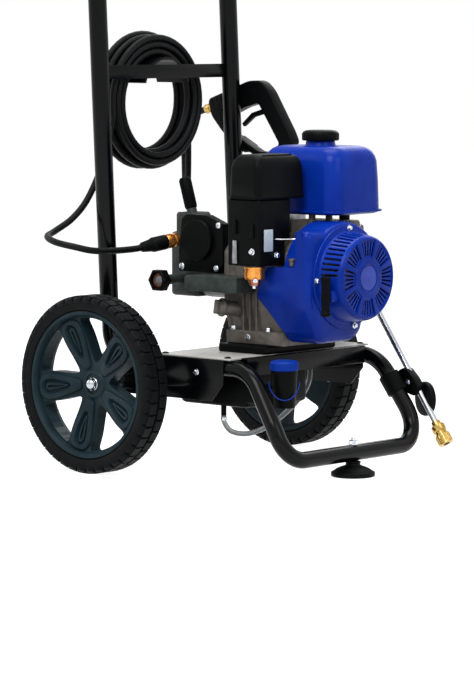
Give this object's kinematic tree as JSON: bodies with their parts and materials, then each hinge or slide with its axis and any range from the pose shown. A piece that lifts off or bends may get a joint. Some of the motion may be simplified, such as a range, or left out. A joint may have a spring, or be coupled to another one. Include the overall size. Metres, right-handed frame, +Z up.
{
  "type": "pressure washer",
  "caption": "Petrol pressure washer: an engine, a pump and a detergent tank on a wheeled trolley with a tall handle, a coiled high-pressure hose, and a lance with a trigger gun.",
  "frame": {"origin": "centre of the bounding box of the machine without its hose, on the ground under the wheels and the front foot", "axes": "+Z up; -Y is the front, where the starter and the rubber foot are, and +Y the handle's side; +X is the machine's left, the lance's side; -X its right, the air cleaner's side, seen in the picture"},
  "size_m": [0.5738, 0.6276, 1.0039],
  "materials": {
    "tyre": "black tyre rubber",
    "rim": "dark grey-green moulded plastic",
    "frame_black": "glossy black powder coat",
    "black_plastic": "black moulded plastic",
    "rubber": "black rubber",
    "deck": "light grey painted sheet",
    "blue": "glossy blue paint",
    "blue_plastic": "glossy blue plastic",
    "cast": "grey cast aluminium",
    "steel": "bare steel",
    "chrome": "polished zinc and chrome plate",
    "orange_brass": "orange-gold passivated metal",
    "brass": "brass",
    "clear": "milky clear hose"
  },
  "bodies": {
    "trolley": {"air_cleaner_base": "black_plastic", "air_cleaner_cover": "black_plastic", "axle": "steel", "axle_nut_left": "chrome", "axle_nut_right": "chrome", "blower_housing": "blue", "carburettor": "cast", "crankcase": "cast", "crankcase_cover": "cast", "cylinder_head": "cast", "deck_plate": "deck", "detergent_hose": "clear", "detergent_tank": "black_plastic", "engine_mount": "black_plastic", "float_bowl": "orange_brass", "foot_bolt": "steel", "frame_tube": "frame_black", "front_crossmember": "frame_black", "fuel_tank": "blue", "gun_body": "black_plastic", "gun_holder": "black_plastic", "handle_grip": "rubber", "handle_tube": "frame_black", "hose_boot": "rubber", "hose_coil": "rubber", "hose_hook": "frame_black", "lance_clip": "black_plastic", "lance_tube": "chrome", "muffler": "steel", "nozzle_coupler": "brass", "outlet_fitting": "orange_brass", "pressure_hose_lower": "rubber", "pressure_hose_upper": "rubber", "pump_body": "cast", "pump_cover": "black_plastic", "pump_head": "cast", "recoil_cover": "blue", "rubber_foot": "rubber", "side_panel_left": "frame_black", "side_panel_right": "frame_black", "spark_plug": "black_plastic", "valve_cover": "cast"},
    "wheel_right": {"wheel_rim_right": "rim", "tyre_right": "tyre"},
    "wheel_left": {"wheel_rim_left": "rim", "tyre_left": "tyre"},
    "crank": {"crankshaft": "steel", "flywheel": "cast"},
    "recoil_pull": {"recoil_handle": "black_plastic"},
    "throttle": {"throttle_lever": "steel"},
    "choke": {"choke_lever": "black_plastic"},
    "fuel_valve": {"fuel_lever": "steel"},
    "engine_stop": {"engine_switch": "black_plastic"},
    "fuel_filler_cap": {"fuel_cap": "black_plastic"},
    "detergent_filler_cap": {"detergent_cap": "blue_plastic"},
    "oil_dipstick": {"oil_filler_cap": "cast"},
    "gun_trigger": {"trigger": "black_plastic"},
    "gun_lock": {"trigger_lock": "black_plastic"},
    "pressure_knob": {"regulator_knob": "black_plastic"},
    "hose_nut": {"inlet_nut": "black_plastic"}
  },
  "joints": [
    {"name": "wheel_right_spin", "type": "hinge", "parent": "trolley", "child": "wheel_right", "pos_m": [-0.257, 0.13271, 0.1525], "axis": [1, 0, 0], "continuous": true},
    {"name": "wheel_left_spin", "type": "hinge", "parent": "trolley", "child": "wheel_left", "pos_m": [0.257, 0.13271, 0.1525], "axis": [1, 0, 0], "continuous": true},
    {"name": "crank_spin", "type": "hinge", "parent": "trolley", "child": "crank", "pos_m": [0, -0.07729, 0.338], "axis": [0, 1, 0], "continuous": true},
    {"name": "recoil_pull_slide", "type": "slide", "parent": "trolley", "child": "recoil_pull", "axis": [-1, 0, 0], "range_m": [0, 0.3], "stiffness_N_per_m": 40},
    {"name": "throttle_swing", "type": "hinge", "parent": "trolley", "child": "throttle", "pos_m": [-0.1453, -0.09079, 0.3675], "axis": [1, 0, 0], "range_deg": [-25, 25]},
    {"name": "choke_swing", "type": "hinge", "parent": "trolley", "child": "choke", "pos_m": [-0.1453, -0.09029, 0.4165], "axis": [1, 0, 0], "range_deg": [-45, 10]},
    {"name": "fuel_valve_swing", "type": "hinge", "parent": "trolley", "child": "fuel_valve", "pos_m": [-0.1453, -0.12829, 0.4105], "axis": [1, 0, 0], "range_deg": [-10, 45]},
    {"name": "engine_stop_turn", "type": "hinge", "parent": "trolley", "child": "engine_stop", "pos_m": [0.0978, -0.18259, 0.314], "axis": [1, 0, 0], "range_deg": [0, 90]},
    {"name": "fuel_cap_lift", "type": "slide", "parent": "trolley", "child": "fuel_filler_cap", "axis": [0, 0, 1], "range_m": [0, 0.06]},
    {"name": "detergent_cap_lift", "type": "slide", "parent": "trolley", "child": "detergent_filler_cap", "axis": [0, 0, 1], "range_m": [0, 0.05]},
    {"name": "oil_dipstick_pull", "type": "slide", "parent": "trolley", "child": "oil_dipstick", "axis": [-0.9345, 0.3271, 0.1402], "range_m": [0, 0.03]},
    {"name": "trigger_squeeze", "type": "hinge", "parent": "trolley", "child": "gun_trigger", "pos_m": [0.2, 0.13398, 0.61217], "axis": [1, 0, 0], "range_deg": [0, 12], "stiffness_Nm_per_rad": 0.05},
    {"name": "trigger_lock_flip", "type": "hinge", "parent": "trolley", "child": "gun_lock", "pos_m": [0.2, 0.22368, 0.5911], "axis": [1, 0, 0], "range_deg": [0, 60]},
    {"name": "pressure_knob_turn", "type": "hinge", "parent": "trolley", "child": "pressure_knob", "pos_m": [-0.02, 0.1208, 0.44229], "axis": [0, 0.2924, 0.9563], "range_deg": [-135, 135]},
    {"name": "hose_nut_turn", "type": "hinge", "parent": "trolley", "child": "hose_nut", "pos_m": [-0.0998, 0.12121, 0.3212], "axis": [1, 0, 0], "continuous": true}
  ]
}
